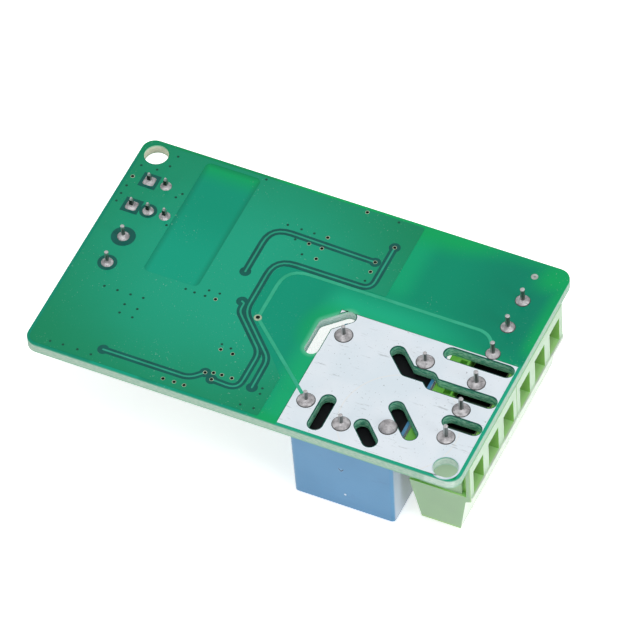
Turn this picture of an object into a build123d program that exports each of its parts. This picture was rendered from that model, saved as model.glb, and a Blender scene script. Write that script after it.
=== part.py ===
from build123d import *
from math import atan2, degrees
import os

os.makedirs("parts", exist_ok=True)

# Relay module board, lying on the flat top of its relay with the solder side up.
# Millimetres. Places on the board are (x, y) from its front left corner: x runs along the
# long edge towards the wire terminals and y towards the back. Depths run down from the
# component side, which faces the floor.

# Circuit board
BOARD_LENGTH = 65.0
BOARD_WIDTH = 40.0
BOARD_THICKNESS = 1.6
BOARD_CORNER = 1.9
FOIL = 0.05  # copper pads
HOLE_ROOM = 0.15  # plated hole around a pin, each side
FIT_GAP = 0.02  # solder or plastic around a pin, each side
MOUNTING_HOLE = 3.5
MOUNTING_HOLES = [(2.5, 37.5), (62.5, 2.1)]
TEST_HOLE = 0.5
TEST_POINT = (60.25, 37.3)
POWER_VIA_HOLE = 0.65
POWER_VIA = (28.15, 16.07)
PIN_SIDES = 8  # of the round pins, their holes and their solder

# Relay
RELAY_WIDTH = 15.5
RELAY_LENGTH = 18.9
RELAY_HEIGHT = 15.4
RELAY_DRAFT = 0.2
RELAY_CORNER = 0.6
RELAY_TOP_EDGE = 0.5
RELAY_WALL = 0.9
RELAY_RECESS = 1.1
POTTING_SUNK = 0.4
RELAY_COMMON = (46.4, 3.55)
RELAY_FRONT = 1.35  # from the common pin forward to the case
RELAY_SIDE_SHIFT = 0.3
COIL_STEP = 1.9
CONTACT_STEP = 14.25
RELAY_PIN_SPREAD = 12.2
RELAY_PIN = 0.6
RELAY_PAD = 2.65
RELAY_PIN_ABOVE = 2.0
COIL_PIN_CUT = 0.7  # the right coil pin is cut off inside its solder

# Wire terminals: a front and a back block of three
TERMINAL_PITCH = 5.08
TERMINAL_ROW = 60.42
FRONT_BLOCK = (TERMINAL_ROW, 6.9)  # first pin
BACK_BLOCK = (TERMINAL_ROW, 22.63)
POLES = 3
BLOCK_END = 2.76  # from an end pin to the end face
BLOCK_HEIGHT = 13.75
BLOCK_REAR = 5.6  # from the pin row to the rear wall at the board, at the ledge and at the far end
LEDGE_REAR = 4.5
TOP_REAR = 2.87
BLOCK_FRONT = 4.65
LEDGE_DEPTH = 6.45
LEDGE_LIP = 0.22
LIP_HEIGHT = 0.6
LIP_SLOPE = 0.5
BELOW_LIP = 3.85
TOP_FRONT = 2.95
END_RECESS = 0.3
GROOVE_FROM = 3.2
GROOVE_WIDTH = 0.8
GROOVE_DEPTH = 0.8
REAR_GROOVE = 3.45  # from the pin row back to its middle
REAR_NOTCH = (1.0, 0.8)  # in the rear wall's rim, length and width
REAR_NOTCH_STEP = (-3.6, -1.8)  # from each pin to its middle
RIB_HEIGHT = 0.6
RIB_GAP = 0.1
COLUMN_RADIUS = 0.4
CHAMBER_REAR = 2.8
CHAMBER_FRONT = 3.0
CHAMBER_WIDTH = 4.2
CHAMBER_DEPTH = 7.8
MOUTH_WIDTH = 3.3
MOUTH_TOP = 1.8
SCREW_WELL = 4.3

# Wire contact, clamp and screw of each pole
CONTACT_LENGTH = 4.8
CONTACT_WIDTH = 3.9
CONTACT_SIDE = 0.5
CONTACT_BASE = 1.0  # collar between the board and the contact
CONTACT_FLOOR = 0.9
CONTACT_OPEN = 4.1
CONTACT_NUT = 1.6
CONTACT_COLLAR = 1.8
TERMINAL_PIN = 0.7
TERMINAL_PIN_ABOVE = 2.5
BACK_PAD = 2.1
FRONT_PAD = 2.6
CLAMP_LENGTH = 4.4
CLAMP_NOSE = 0.8
CLAMP_WIDTH = 2.5
CLAMP_THICKNESS = 0.5
CLAMP_DEPTH = 5.2
CLAMP_TRAVEL = 2.75
SCREW_SHANK = 2.5
SCREW_THREAD_GAP = 0.05
SCREW_TIP_GAP = 0.05
SCREW_HEAD = 3.8
SCREW_HEAD_HEIGHT = 1.8
SCREW_HEAD_GAP = 0.15  # over the contact when the clamp is fully down
SCREW_SLOT = 0.8
SCREW_SLOT_DEPTH = 1.0

# Solder
SOLDER_LIP = 0.12  # solder round a pin where it ends
RELAY_SOLDER = 0.6
TERMINAL_SOLDER = 0.7
HEADER_SOLDER = 0.5
CAPACITOR_SOLDER = 0.5
PIN_TIP = 0.12

# Pin headers
HEADER_PITCH = 2.54
JUMPER_HEADER = (3.73, 32.7)
SERIAL_HEADER = (3.38, 27.68)
HEADER_HEIGHT = 2.5
HEADER_PIN = 0.64
HEADER_PIN_BELOW = 6.0
HEADER_PIN_ABOVE = 1.7
HEADER_PAD = 1.65
HEADER_TIP = 0.15

# Electrolytic capacitor
CAPACITOR = (4.72, 19.63)
CAPACITOR_DIAMETER = 10.0
CAPACITOR_HEIGHT = 12.5
CAPACITOR_PITCH = 5.1
CAPACITOR_LEAD = 0.6
CAPACITOR_LEAD_ABOVE = 2.3
CAPACITOR_PAD = 1.75
SLEEVE_WALL = 0.15
SLEEVE_LIP = 0.9
BUNG_HEIGHT = 1.2
VENT_GROOVE = 0.3
VENT_DEPTH = 0.15

# Radio module on the component side
RADIO = (10.0, 20.3)  # front left corner, with the aerial at the left
RADIO_LENGTH = 24.0
RADIO_WIDTH = 16.0
RADIO_THICKNESS = 0.8
RADIO_PITCH = 2.0
RADIO_PADS = 8
RADIO_FIRST_PAD = 8.0
RADIO_NOTCH = 0.8
SHIELD_LENGTH = 15.2
SHIELD_WIDTH = 12.2
SHIELD_HEIGHT = 2.2
SHIELD_CORNER = 0.6
SHIELD_EDGE = 0.3
SHIELD_END_GAP = 1.0
AERIAL_WIDTH = 0.5
AERIAL_REACH = 5.4
AERIAL_PITCH = 2.1
AERIAL_TURNS = 3
AERIAL_INSET = 2.0

# Milled gaps that part the mains contacts: the path of the cutter's middle
GAP_WIDTH = 2.05
GAP_END = 1.6  # from the board's right edge to where a gap ends
POLE_GAP_SHIFT = 0.1  # back from the middle between two poles
FRONT_GAP_START = -0.6  # from the terminal row
BLOCK_GAP_START = -5.2
BLOCK_GAP_SHIFT = 0.6
ZIGZAG_START = (-4.1, 0.1)  # from the relay's right contact
ZIGZAG_TURNS = (-1.55, 1.6, 2.5)
ZIGZAG_RISE = 0.85
CORNER_GAP = [(-3.1, -3.75), (-3.1, 0.75), (-0.65, 3.15)]  # from the relay's left contact
COMMON_GAP = [(-3.25, -1.35), (-3.25, 2.95)]  # from the relay's common pin
SLANT_GAP = [(2.7, 0.85), (4.8, -1.25)]  # from the relay's common pin
COIL_GAP = [(-0.3, 3.55), (3.25, 0.0)]  # from the relay's right coil pin

# Surface parts on the component side, each (x, y) of its centre
REGULATOR = (14.9, 11.4)
INPUT_DIODE = (24.2, 12.8)
COIL_DIODE = (35.3, 11.5)
TRANSISTOR = (34.8, 4.6)
OPTOCOUPLER = (48.6, 30.6)
LEDS = [(46.4, 37.0), (50.8, 37.0)]
RESISTORS = [
    (23.0, 5.2), (23.0, 7.6), (28.4, 5.2), (28.4, 7.6), (41.2, 24.6), (46.4, 34.9), (50.8, 34.9),
    (38.0, 36.4),
]
CERAMIC_CAPACITORS = [(20.1, 9.0), (20.9, 16.2), (14.6, 5.2), (38.0, 27.8), (38.0, 30.6), (38.0, 33.4)]
CHIP_LENGTH = 2.0
CHIP_WIDTH = 1.25
CHIP_CAP = 0.4
RESISTOR_HEIGHT = 0.5
CERAMIC_HEIGHT = 0.85
LED_HEIGHT = 0.8
CHIP_PAD_GROWTH = 0.5
CHIP_PAD_SHIFT = 0.1
LEAD_THICKNESS = 0.2
SOT223_BODY = (3.5, 6.5, 1.6)
SOT223_LEAD = 0.75
SOT223_TAB = 3.0
SOT223_PITCH = 2.3
SOT223_REACH = 1.75
SOT223_FOOT = 1.05
SOT23_BODY = (1.3, 2.9, 1.0)
SOT23_LEAD = 0.4
SOT23_PITCH = 1.9
SOT23_REACH = 0.6
SOT23_FOOT = 0.35
DIODE_BODY = (4.4, 2.6, 2.1)
DIODE_LEAD = 1.5
DIODE_REACH = 0.45
DIODE_FOOT = 0.2
OPTO_BODY = (6.5, 4.6, 3.4)
OPTO_LEAD = 0.9
OPTO_REACH = 1.6
OPTO_FOOT = 0.8
OPTO_PITCH = 2.54
BODY_STANDOFF = 0.1
BODY_CHAMFER = 0.3
PAD_LENGTH = 1.3
PAD_SIDE = 0.2

# Placing: the origin is the middle of the whole part, at the floor
UNDERSIDE_LEVEL = RELAY_HEIGHT
LEFT_END = min(0.0, CAPACITOR[0] - CAPACITOR_DIAMETER / 2)
RIGHT_END = max(BOARD_LENGTH, FRONT_BLOCK[0] + BLOCK_FRONT + LEDGE_LIP)
CENTRE_X = (LEFT_END + RIGHT_END) / 2
CENTRE_Y = BOARD_WIDTH / 2
UNDERSIDE = Plane(origin=(-CENTRE_X, -CENTRE_Y, UNDERSIDE_LEVEL))
SOLDER_SIDE = UNDERSIDE.offset(BOARD_THICKNESS)

front_pins = [(FRONT_BLOCK[0], FRONT_BLOCK[1] + i * TERMINAL_PITCH) for i in range(POLES)]
back_pins = [(BACK_BLOCK[0], BACK_BLOCK[1] + i * TERMINAL_PITCH) for i in range(POLES)]
jumper_pins = [(JUMPER_HEADER[0] + i * HEADER_PITCH, JUMPER_HEADER[1]) for i in range(2)]
serial_pins = [(SERIAL_HEADER[0] + i * HEADER_PITCH, SERIAL_HEADER[1]) for i in range(3)]
capacitor_pins = [(CAPACITOR[0], CAPACITOR[1] + side * CAPACITOR_PITCH / 2) for side in (-1, 1)]
coil_right = (RELAY_COMMON[0] + RELAY_PIN_SPREAD / 2, RELAY_COMMON[1] + COIL_STEP)
relay_long_pins = [
    RELAY_COMMON,
    (RELAY_COMMON[0] - RELAY_PIN_SPREAD / 2, RELAY_COMMON[1] + COIL_STEP),
    (RELAY_COMMON[0] - RELAY_PIN_SPREAD / 2, RELAY_COMMON[1] + CONTACT_STEP),
    (RELAY_COMMON[0] + RELAY_PIN_SPREAD / 2, RELAY_COMMON[1] + CONTACT_STEP),
]
relay_pins_at = relay_long_pins + [coil_right]
relay_centre = (RELAY_COMMON[0] + RELAY_SIDE_SHIFT, RELAY_COMMON[1] - RELAY_FRONT + RELAY_LENGTH / 2)


def below(depth):
    """The plane at a depth under the component side."""
    return UNDERSIDE.offset(-depth)


def side_plane(x, y, outward=1):
    """An upright plane through a place, drawn as (distance outward in X, depth)."""
    return Plane(
        origin=(x - CENTRE_X, y - CENTRE_Y, UNDERSIDE_LEVEL), x_dir=(outward, 0, 0), z_dir=(0, outward, 0)
    )


def end_plane(x):
    """An upright plane facing +X, drawn as (y, minus depth)."""
    return Plane(origin=(x - CENTRE_X, -CENTRE_Y, UNDERSIDE_LEVEL), x_dir=(0, 1, 0), z_dir=(1, 0, 0))


def keep(piece, name):
    """Name a finished piece and write it out."""
    piece.part.label = name
    export_step(piece.part, f"parts/{name}.step")


def milled(points):
    """The path of a round cutter through the given points, cut away."""
    for start, end in zip(points, points[1:]):
        with BuildLine() as cut:
            Line(start, end)
        trace(cut.line, line_width=GAP_WIDTH, mode=Mode.SUBTRACT)
    with Locations(*points):
        Circle(GAP_WIDTH / 2, mode=Mode.SUBTRACT)


def pin_holes(places, pin):
    """Plated holes with room around a pin, cut away."""
    with Locations(*places):
        RegularPolygon(pin / 2 + HOLE_ROOM, PIN_SIDES, mode=Mode.SUBTRACT)


def from_pin(pin, steps):
    """Places given by their steps from a pin."""
    return [(pin[0] + dx, pin[1] + dy) for dx, dy in steps]


# The milled gaps follow the pins that they keep apart
gap_end = BOARD_LENGTH - GAP_END
pole_middle = front_pins[0][1] + TERMINAL_PITCH / 2 + POLE_GAP_SHIFT
zigzag_end = pole_middle + TERMINAL_PITCH
zigzag_back = zigzag_end + ZIGZAG_RISE
block_middle = (front_pins[-1][1] + back_pins[0][1]) / 2 + BLOCK_GAP_SHIFT
contact_left, contact_right = relay_long_pins[2:]
turn_1, turn_2, turn_3 = [contact_right[0] + step for step in ZIGZAG_TURNS]
gaps = [
    [(TERMINAL_ROW + FRONT_GAP_START, pole_middle), (gap_end, pole_middle)],
    from_pin(contact_right, [ZIGZAG_START])
    + [(turn_1, zigzag_back), (turn_2, zigzag_back), (turn_3, zigzag_end), (gap_end, zigzag_end)],
    [(TERMINAL_ROW + BLOCK_GAP_START, block_middle), (gap_end, block_middle)],
    from_pin(contact_left, CORNER_GAP),
    from_pin(RELAY_COMMON, COMMON_GAP),
    from_pin(RELAY_COMMON, SLANT_GAP),
    from_pin(coil_right, COIL_GAP),
]


# Board
with BuildPart() as circuit_board:
    with BuildSketch(UNDERSIDE):
        with Locations((BOARD_LENGTH / 2, BOARD_WIDTH / 2)):
            RectangleRounded(BOARD_LENGTH, BOARD_WIDTH, BOARD_CORNER)
        with Locations(*MOUNTING_HOLES):
            Circle(MOUNTING_HOLE / 2, mode=Mode.SUBTRACT)
        with Locations(TEST_POINT):
            RegularPolygon(TEST_HOLE / 2, PIN_SIDES, mode=Mode.SUBTRACT)
        with Locations(POWER_VIA):
            RegularPolygon(POWER_VIA_HOLE / 2, PIN_SIDES, mode=Mode.SUBTRACT)
        pin_holes(relay_pins_at, RELAY_PIN)
        pin_holes(front_pins + back_pins, TERMINAL_PIN)
        pin_holes(jumper_pins + serial_pins, HEADER_PIN * 2**0.5)
        pin_holes(capacitor_pins, CAPACITOR_LEAD)
        for points in gaps:
            milled(points)
    extrude(amount=BOARD_THICKNESS)
keep(circuit_board, "circuit_board")


def solder_joints(places, pad, pin, height, square_pin=False):
    """Solder drawn up round pins; under square pins the first pad is square too."""
    across = pin * 2**0.5 if square_pin else pin
    slope = degrees(atan2((pad - across) / 2 - SOLDER_LIP, height))
    with BuildPart() as joints:
        with BuildSketch(SOLDER_SIDE):
            with Locations(*places):
                RegularPolygon(pad / 2, PIN_SIDES)
        extrude(amount=height, taper=slope)
        if square_pin:
            with BuildSketch(SOLDER_SIDE):
                with Locations(places[0]):
                    Rectangle(pad, pad)
            extrude(amount=FOIL)
        with BuildSketch(SOLDER_SIDE):
            with Locations(*places):
                if square_pin:
                    Rectangle(pin + 2 * FIT_GAP, pin + 2 * FIT_GAP)
                else:
                    RegularPolygon(pin / 2 + FIT_GAP, PIN_SIDES)
        extrude(amount=height, mode=Mode.SUBTRACT)
    return joints


def round_pins(places, diameter, start, end, tip):
    """Pins from a depth under the board up to a height over it, with a blunt tip."""
    with BuildPart() as pins:
        with BuildSketch(below(start)):
            with Locations(*places):
                RegularPolygon(diameter / 2, PIN_SIDES)
        extrude(amount=start + BOARD_THICKNESS + end)
        chamfer(pins.edges().group_by(Axis.Z)[-1], tip)
    return pins


# Relay: case, potting that closes it, pins and their solder
with BuildPart() as relay_case:
    with BuildSketch(UNDERSIDE):
        with Locations(relay_centre):
            Rectangle(RELAY_WIDTH, RELAY_LENGTH)
    with BuildSketch(below(RELAY_HEIGHT)):
        with Locations(relay_centre):
            Rectangle(RELAY_WIDTH - 2 * RELAY_DRAFT, RELAY_LENGTH - 2 * RELAY_DRAFT)
    loft()
    levels = relay_case.edges().group_by(Axis.Z)
    fillet(levels[1], RELAY_CORNER)
    chamfer(relay_case.edges().group_by(Axis.Z)[0], RELAY_TOP_EDGE)
    with BuildSketch(UNDERSIDE):
        with Locations(relay_centre):
            Rectangle(RELAY_WIDTH - 2 * RELAY_WALL, RELAY_LENGTH - 2 * RELAY_WALL)
    extrude(amount=-RELAY_RECESS, mode=Mode.SUBTRACT)
keep(relay_case, "relay_case")

with BuildPart() as relay_potting:
    with BuildSketch(below(POTTING_SUNK)):
        with Locations(relay_centre):
            Rectangle(RELAY_WIDTH - 2 * RELAY_WALL, RELAY_LENGTH - 2 * RELAY_WALL)
        with Locations(*relay_pins_at):
            RegularPolygon(RELAY_PIN / 2 + FIT_GAP, PIN_SIDES, mode=Mode.SUBTRACT)
    extrude(amount=-(RELAY_RECESS - POTTING_SUNK))
keep(relay_potting, "relay_potting")

relay_pins = round_pins(relay_long_pins, RELAY_PIN, RELAY_RECESS, RELAY_PIN_ABOVE, PIN_TIP)
cut_pin = round_pins([coil_right], RELAY_PIN, RELAY_RECESS, COIL_PIN_CUT, PIN_TIP)
with BuildPart() as all_relay_pins:
    add(relay_pins.part)
    add(cut_pin.part)
keep(all_relay_pins, "relay_pins")
keep(solder_joints(relay_pins_at, RELAY_PAD, RELAY_PIN, RELAY_SOLDER), "relay_solder")


# Wire terminals
def terminal_housing(pins):
    """A three pole moulding: wire mouths at the front, screw wells under, chambers open to the board."""
    x, first = pins[0]
    start = first - BLOCK_END
    length = (POLES - 1) * TERMINAL_PITCH + 2 * BLOCK_END
    nose = BLOCK_FRONT + LEDGE_LIP
    profile = [
        (-BLOCK_REAR, 0), (BLOCK_FRONT, 0), (BLOCK_FRONT, LEDGE_DEPTH), (nose, LEDGE_DEPTH),
        (nose, LEDGE_DEPTH + LIP_HEIGHT), (BELOW_LIP, LEDGE_DEPTH + LIP_HEIGHT + LIP_SLOPE),
        (TOP_FRONT, BLOCK_HEIGHT), (-TOP_REAR, BLOCK_HEIGHT), (-LEDGE_REAR, LEDGE_DEPTH),
    ]
    flat_end = BLOCK_REAR + GROOVE_FROM
    flat_middle = x + (GROOVE_FROM - BLOCK_REAR) / 2
    groove_middle = x + GROOVE_FROM + GROOVE_WIDTH / 2
    chamber = CHAMBER_REAR + CHAMBER_FRONT
    mouth_middle = (MOUTH_TOP + LEDGE_DEPTH) / 2
    mouth_height = LEDGE_DEPTH - MOUTH_TOP
    with BuildPart() as housing:
        with BuildSketch(side_plane(x, start)):
            with BuildLine():
                Polyline(*profile, close=True)
            make_face()
        extrude(amount=length)
        columns = housing.edges().filter_by(Axis.Z).group_by(Axis.X)[-1]
        fillet(columns, COLUMN_RADIUS)
        with BuildSketch(UNDERSIDE):
            with Locations((flat_middle, start), (flat_middle, start + length)):
                Rectangle(flat_end, 2 * END_RECESS)
            with Locations((groove_middle, start), (x - REAR_GROOVE, start)):
                Rectangle(GROOVE_WIDTH, 2 * GROOVE_DEPTH)
        extrude(amount=-LEDGE_DEPTH, mode=Mode.SUBTRACT)
        with BuildSketch(UNDERSIDE):
            with Locations((groove_middle, start + length + RIB_HEIGHT / 2)):
                Rectangle(GROOVE_WIDTH - 2 * RIB_GAP, RIB_HEIGHT)
        extrude(amount=-LEDGE_DEPTH + RIB_GAP)
        with BuildSketch(UNDERSIDE):
            with Locations(*[(x + REAR_NOTCH_STEP[0], y + REAR_NOTCH_STEP[1]) for _, y in pins]):
                Rectangle(*REAR_NOTCH)
        extrude(amount=-GROOVE_DEPTH, mode=Mode.SUBTRACT)
        with BuildSketch(UNDERSIDE):
            with Locations(*[(x + (CHAMBER_FRONT - CHAMBER_REAR) / 2, y) for _, y in pins]):
                Rectangle(chamber, CHAMBER_WIDTH)
        extrude(amount=-CHAMBER_DEPTH, mode=Mode.SUBTRACT)
        with BuildSketch(UNDERSIDE):
            with Locations(*pins):
                Circle(SCREW_WELL / 2)
        extrude(amount=-BLOCK_HEIGHT, mode=Mode.SUBTRACT)
        with BuildSketch(end_plane(x + CHAMBER_FRONT)):
            with Locations(*[(y, -mouth_middle) for _, y in pins]):
                Rectangle(MOUTH_WIDTH, mouth_height)
        extrude(amount=BLOCK_FRONT - CHAMBER_FRONT, mode=Mode.SUBTRACT)
    return housing


keep(terminal_housing(front_pins), "front_terminal_housing")
keep(terminal_housing(back_pins), "back_terminal_housing")

contact_roof = CONTACT_BASE + CONTACT_FLOOR + CONTACT_OPEN + CONTACT_NUT
contact_middle = (CONTACT_BASE + contact_roof) / 2
screw_tip = CLAMP_DEPTH + CLAMP_THICKNESS / 2 + SCREW_TIP_GAP
head_start = contact_roof + CLAMP_TRAVEL + SCREW_HEAD_GAP
head_end = head_start + SCREW_HEAD_HEIGHT


def terminal_contact(x, y):
    """A square loop of metal with a threaded roof, standing on its collar and solder pin."""
    with BuildPart() as contact:
        with BuildSketch(end_plane(x - CONTACT_LENGTH / 2)):
            with Locations((y, -contact_middle)):
                Rectangle(CONTACT_WIDTH, contact_roof - CONTACT_BASE)
            with Locations((y, -(CONTACT_BASE + CONTACT_FLOOR + CONTACT_OPEN / 2))):
                Rectangle(CONTACT_WIDTH - 2 * CONTACT_SIDE, CONTACT_OPEN, mode=Mode.SUBTRACT)
        extrude(amount=CONTACT_LENGTH)
        with BuildSketch(below(contact_roof)):
            with Locations((x, y)):
                Circle(SCREW_SHANK / 2 + SCREW_THREAD_GAP)
        extrude(amount=CONTACT_NUT, mode=Mode.SUBTRACT)
        with BuildSketch(below(CONTACT_BASE)):
            with Locations((x, y)):
                Rectangle(CONTACT_COLLAR, CONTACT_COLLAR)
        extrude(amount=CONTACT_BASE)
        with BuildSketch(below(CONTACT_BASE)):
            with Locations((x, y)):
                RegularPolygon(TERMINAL_PIN / 2, PIN_SIDES)
        extrude(amount=CONTACT_BASE + BOARD_THICKNESS + TERMINAL_PIN_ABOVE)
        chamfer(contact.edges().group_by(Axis.Z)[-1], PIN_TIP)
    return contact


def wire_clamp(x, y):
    """A pressure plate under the screw's tip, its nose turned up to lead the wire in."""
    rear = -CLAMP_LENGTH / 2
    with BuildPart() as clamp:
        with BuildSketch(side_plane(x, y - CLAMP_WIDTH / 2)):
            with BuildLine() as line:
                Polyline(
                    (rear, CLAMP_DEPTH),
                    (rear + CLAMP_LENGTH - CLAMP_NOSE, CLAMP_DEPTH),
                    (rear + CLAMP_LENGTH, CLAMP_DEPTH + CLAMP_NOSE / 2),
                )
            trace(line.line, line_width=CLAMP_THICKNESS)
        extrude(amount=CLAMP_WIDTH)
    return clamp


def terminal_screw(x, y):
    """A slotted cheese head screw, standing head down."""
    with BuildPart() as screw:
        with BuildSketch(below(screw_tip)):
            with Locations((x, y)):
                Circle(SCREW_SHANK / 2)
        extrude(amount=-(head_start - screw_tip))
        with BuildSketch(below(head_start)):
            with Locations((x, y)):
                Circle(SCREW_HEAD / 2)
        extrude(amount=-SCREW_HEAD_HEIGHT)
        with BuildSketch(below(head_end)):
            with Locations((x, y)):
                Rectangle(2 * SCREW_HEAD, SCREW_SLOT)
        extrude(amount=SCREW_SLOT_DEPTH, mode=Mode.SUBTRACT)
    return screw


for number, (pin_x, pin_y) in enumerate(front_pins + back_pins, start=1):
    keep(terminal_contact(pin_x, pin_y), f"terminal_contact_{number}")
    keep(wire_clamp(pin_x, pin_y), f"wire_clamp_{number}")
    keep(terminal_screw(pin_x, pin_y), f"terminal_screw_{number}")
keep(solder_joints(front_pins, FRONT_PAD, TERMINAL_PIN, TERMINAL_SOLDER), "front_terminal_solder")
keep(solder_joints(back_pins, BACK_PAD, TERMINAL_PIN, TERMINAL_SOLDER), "back_terminal_solder")


# Pin headers
def header_strip(pins):
    """The plastic strip of a pin header: one eight sided cell a pin."""
    with BuildPart() as strip:
        with BuildSketch(UNDERSIDE):
            with Locations(*pins):
                RegularPolygon(HEADER_PITCH / 2, 8, major_radius=False, rotation=22.5)
                Rectangle(HEADER_PIN + 2 * FIT_GAP, HEADER_PIN + 2 * FIT_GAP, mode=Mode.SUBTRACT)
        extrude(amount=-HEADER_HEIGHT)
    return strip


def header_pins(pins):
    """Square pins through a strip and the board, pointed at both ends."""
    with BuildPart() as posts:
        with BuildSketch(below(HEADER_HEIGHT + HEADER_PIN_BELOW)):
            with Locations(*pins):
                Rectangle(HEADER_PIN, HEADER_PIN)
        extrude(amount=HEADER_HEIGHT + HEADER_PIN_BELOW + BOARD_THICKNESS + HEADER_PIN_ABOVE)
        levels = posts.edges().group_by(Axis.Z)
        chamfer(levels[0] + levels[-1], HEADER_TIP)
    return posts


for name, pins in (("jumper", jumper_pins), ("serial", serial_pins)):
    keep(header_strip(pins), f"{name}_header_strip")
    keep(header_pins(pins), f"{name}_header_pins")
    keep(solder_joints(pins, HEADER_PAD, HEADER_PIN, HEADER_SOLDER, square_pin=True), f"{name}_header_solder")


# Electrolytic capacitor
can_radius = CAPACITOR_DIAMETER / 2 - SLEEVE_WALL
with BuildPart() as capacitor_can:
    with BuildSketch(below(CAPACITOR_HEIGHT - SLEEVE_WALL)):
        with Locations(CAPACITOR):
            Circle(can_radius)
    extrude(amount=CAPACITOR_HEIGHT - SLEEVE_WALL - BUNG_HEIGHT)
    with BuildSketch(below(CAPACITOR_HEIGHT - SLEEVE_WALL)):
        for turn in (0, 60, 120):
            with Locations(CAPACITOR):
                Rectangle(2 * (can_radius - SLEEVE_LIP - VENT_GROOVE), VENT_GROOVE, rotation=turn)
    extrude(amount=VENT_DEPTH, mode=Mode.SUBTRACT)
keep(capacitor_can, "capacitor_can")

with BuildPart() as capacitor_sleeve:
    with BuildSketch(UNDERSIDE):
        with Locations(CAPACITOR):
            Circle(CAPACITOR_DIAMETER / 2)
            Circle(can_radius, mode=Mode.SUBTRACT)
    extrude(amount=-CAPACITOR_HEIGHT)
    with BuildSketch(below(CAPACITOR_HEIGHT)):
        with Locations(CAPACITOR):
            Circle(CAPACITOR_DIAMETER / 2)
            Circle(can_radius - SLEEVE_LIP, mode=Mode.SUBTRACT)
    extrude(amount=SLEEVE_WALL)
keep(capacitor_sleeve, "capacitor_sleeve")

with BuildPart() as capacitor_bung:
    with BuildSketch(UNDERSIDE):
        with Locations(CAPACITOR):
            Circle(can_radius - FIT_GAP)
        with Locations(*capacitor_pins):
            RegularPolygon(CAPACITOR_LEAD / 2 + FIT_GAP, PIN_SIDES, mode=Mode.SUBTRACT)
    extrude(amount=-BUNG_HEIGHT)
keep(capacitor_bung, "capacitor_bung")
keep(
    round_pins(capacitor_pins, CAPACITOR_LEAD, BUNG_HEIGHT, CAPACITOR_LEAD_ABOVE, PIN_TIP / 2),
    "capacitor_leads",
)
keep(solder_joints(capacitor_pins, CAPACITOR_PAD, CAPACITOR_LEAD, CAPACITOR_SOLDER), "capacitor_solder")


# Radio module: its own small board on pads, with a shield can and an aerial
radio_x, radio_y = RADIO
radio_middle = radio_y + RADIO_WIDTH / 2
radio_pads = [
    (radio_x + RADIO_FIRST_PAD + i * RADIO_PITCH, radio_y + side * RADIO_WIDTH)
    for side in (0, 1)
    for i in range(RADIO_PADS)
]
with BuildPart() as radio_board:
    with BuildSketch(below(FOIL)):
        with Locations((radio_x + RADIO_LENGTH / 2, radio_middle)):
            Rectangle(RADIO_LENGTH, RADIO_WIDTH)
        with Locations(*radio_pads):
            Rectangle(RADIO_NOTCH, RADIO_NOTCH, mode=Mode.SUBTRACT)
    extrude(amount=-RADIO_THICKNESS)
keep(radio_board, "radio_board")

radio_face = FOIL + RADIO_THICKNESS
shield_x = radio_x + RADIO_LENGTH - SHIELD_END_GAP - SHIELD_LENGTH / 2
with BuildPart() as radio_shield:
    with BuildSketch(below(radio_face)):
        with Locations((shield_x, radio_middle)):
            Rectangle(SHIELD_LENGTH, SHIELD_WIDTH)
    extrude(amount=-SHIELD_HEIGHT)
    chamfer(radio_shield.edges().filter_by(Axis.Z), SHIELD_CORNER)
    chamfer(radio_shield.edges().group_by(Axis.Z)[0], SHIELD_EDGE)
keep(radio_shield, "radio_shield")

aerial_start = radio_x + AERIAL_WIDTH
aerial_turns = []
for i in range(AERIAL_TURNS):
    y = radio_y + AERIAL_INSET + 2 * i * AERIAL_PITCH
    aerial_turns += [
        (aerial_start + AERIAL_REACH, y), (aerial_start, y),
        (aerial_start, y + AERIAL_PITCH), (aerial_start + AERIAL_REACH, y + AERIAL_PITCH),
    ]
with BuildPart() as radio_aerial:
    with BuildSketch(below(radio_face)):
        with BuildLine() as meander:
            Polyline(*aerial_turns)
        trace(meander.line, line_width=AERIAL_WIDTH)
    extrude(amount=-FOIL)
keep(radio_aerial, "radio_aerial")

joint_width = RADIO_NOTCH - 2 * FIT_GAP
with BuildPart() as radio_joints:
    for x, y in radio_pads:
        outward = 1 if y > radio_middle else -1
        with BuildSketch(end_plane(x - joint_width / 2)):
            with BuildLine():
                Polyline(
                    (y + outward * (FIT_GAP - RADIO_NOTCH / 2), -FOIL), (y + outward * RADIO_NOTCH, -FOIL),
                    (y + outward * (FIT_GAP - RADIO_NOTCH / 2), -radio_face), close=True,
                )
            make_face()
        extrude(amount=joint_width)
keep(radio_joints, "radio_joints")


# Surface parts
def lead_path(reach, rise, foot):
    """A gull wing's middle line: out of the body, down, and along the pad."""
    half = LEAD_THICKNESS / 2
    return [(0, rise), (reach - foot, rise), (reach - foot, FOIL + half), (reach, FOIL + half)]


def gull_wings(places, width, reach, rise, foot):
    """Bent leads; each place is (x at the body's side, y, outward direction)."""
    with BuildPart() as leads:
        for x, y, outward in places:
            with BuildSketch(side_plane(x, y - outward * width / 2, outward)):
                with BuildLine() as bend:
                    Polyline(*lead_path(reach, rise, foot))
                trace(bend.line, line_width=LEAD_THICKNESS)
            extrude(amount=width)
    return leads


def moulded_body(places, size):
    """Moulded bodies with drafted upper edges, a little off the board."""
    length, width, height = size
    with BuildPart() as bodies:
        with BuildSketch(below(FOIL + BODY_STANDOFF)):
            with Locations(*places):
                Rectangle(length, width)
        extrude(amount=-(height - BODY_STANDOFF))
        chamfer(bodies.edges().group_by(Axis.Z)[0], BODY_CHAMFER)
    return bodies


def sides(place, body_length, rows):
    """Lead places on both sides of a body, a row of y shifts to each side."""
    x, y = place
    left, right = rows
    return [(x - body_length / 2, y + shift, -1) for shift in left] + [
        (x + body_length / 2, y + shift, 1) for shift in right
    ]


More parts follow.
